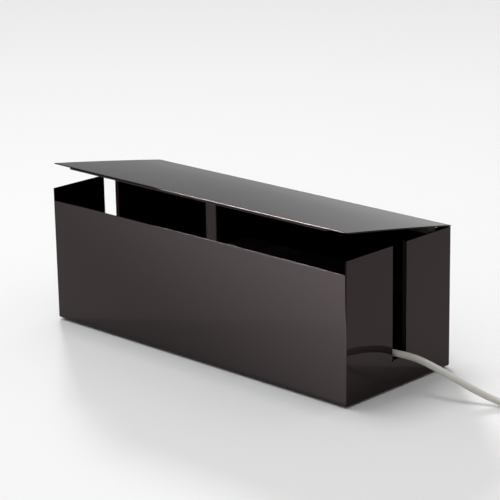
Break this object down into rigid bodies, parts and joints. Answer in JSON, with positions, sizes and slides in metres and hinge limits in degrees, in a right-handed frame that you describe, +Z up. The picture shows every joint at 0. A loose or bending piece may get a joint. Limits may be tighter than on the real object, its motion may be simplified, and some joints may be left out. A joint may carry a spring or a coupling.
{
  "type": "cable management box",
  "caption": "Painted steel box that hides a socket strip and its leads, with a hinged lid, a finger gap along the front and a rimmed cord slot in each end.",
  "frame": {"origin": "on the floor, under the middle of the box without its free lead", "axes": "+X along the box towards the slot that the lead leaves by, +Y towards the hinges, +Z up"},
  "size_m": [0.637, 0.2121, 0.1684],
  "materials": {
    "dark_paint": "gloss",
    "zinc": "satin",
    "foot_rubber": "matte",
    "strip_plastic": "satin",
    "contact_brass": "satin",
    "wire_plastic": "matte",
    "lead_plastic": "satin",
    "plug_plastic": "satin",
    "plug_nickel": "polished",
    "tie_fabric": "matte"
  },
  "bodies": {
    "box": {"trough": "dark_paint", "end_panel_left": "dark_paint", "end_panel_right": "dark_paint", "hinge_left_wall_leaf": "zinc", "hinge_left_pin": "zinc", "hinge_right_wall_leaf": "zinc", "hinge_right_pin": "zinc", "wall_studs": "zinc", "wall_nuts": "zinc", "foot_front_left": "foot_rubber", "foot_front_right": "foot_rubber", "foot_rear_left": "foot_rubber", "foot_rear_right": "foot_rubber", "strip_tray": "strip_plastic", "strip_cover": "strip_plastic", "strip_screws": "zinc", "live_rail": "contact_brass", "earth_rail": "contact_brass", "neutral_rail": "contact_brass", "conductors": "wire_plastic", "held_lead": "lead_plastic", "cord_clamp": "strip_plastic", "clamp_screws": "zinc", "strain_relief": "lead_plastic", "cord_run": "lead_plastic", "cord_coil": "lead_plastic", "cord_tail": "lead_plastic", "cord_tie": "tie_fabric", "plug_body": "plug_plastic", "plug_pins": "plug_nickel"},
    "lid": {"lid": "dark_paint", "hinge_left_lid_leaf": "zinc", "hinge_right_lid_leaf": "zinc", "lid_studs": "zinc", "lid_nuts": "zinc"}
  },
  "joints": [
    {"name": "lid_hinge", "type": "hinge", "parent": "box", "child": "lid", "pos_m": [0, 0.0751, 0.14], "axis": [-1, 0, 0], "range_deg": [-9.5, 85]}
  ]
}
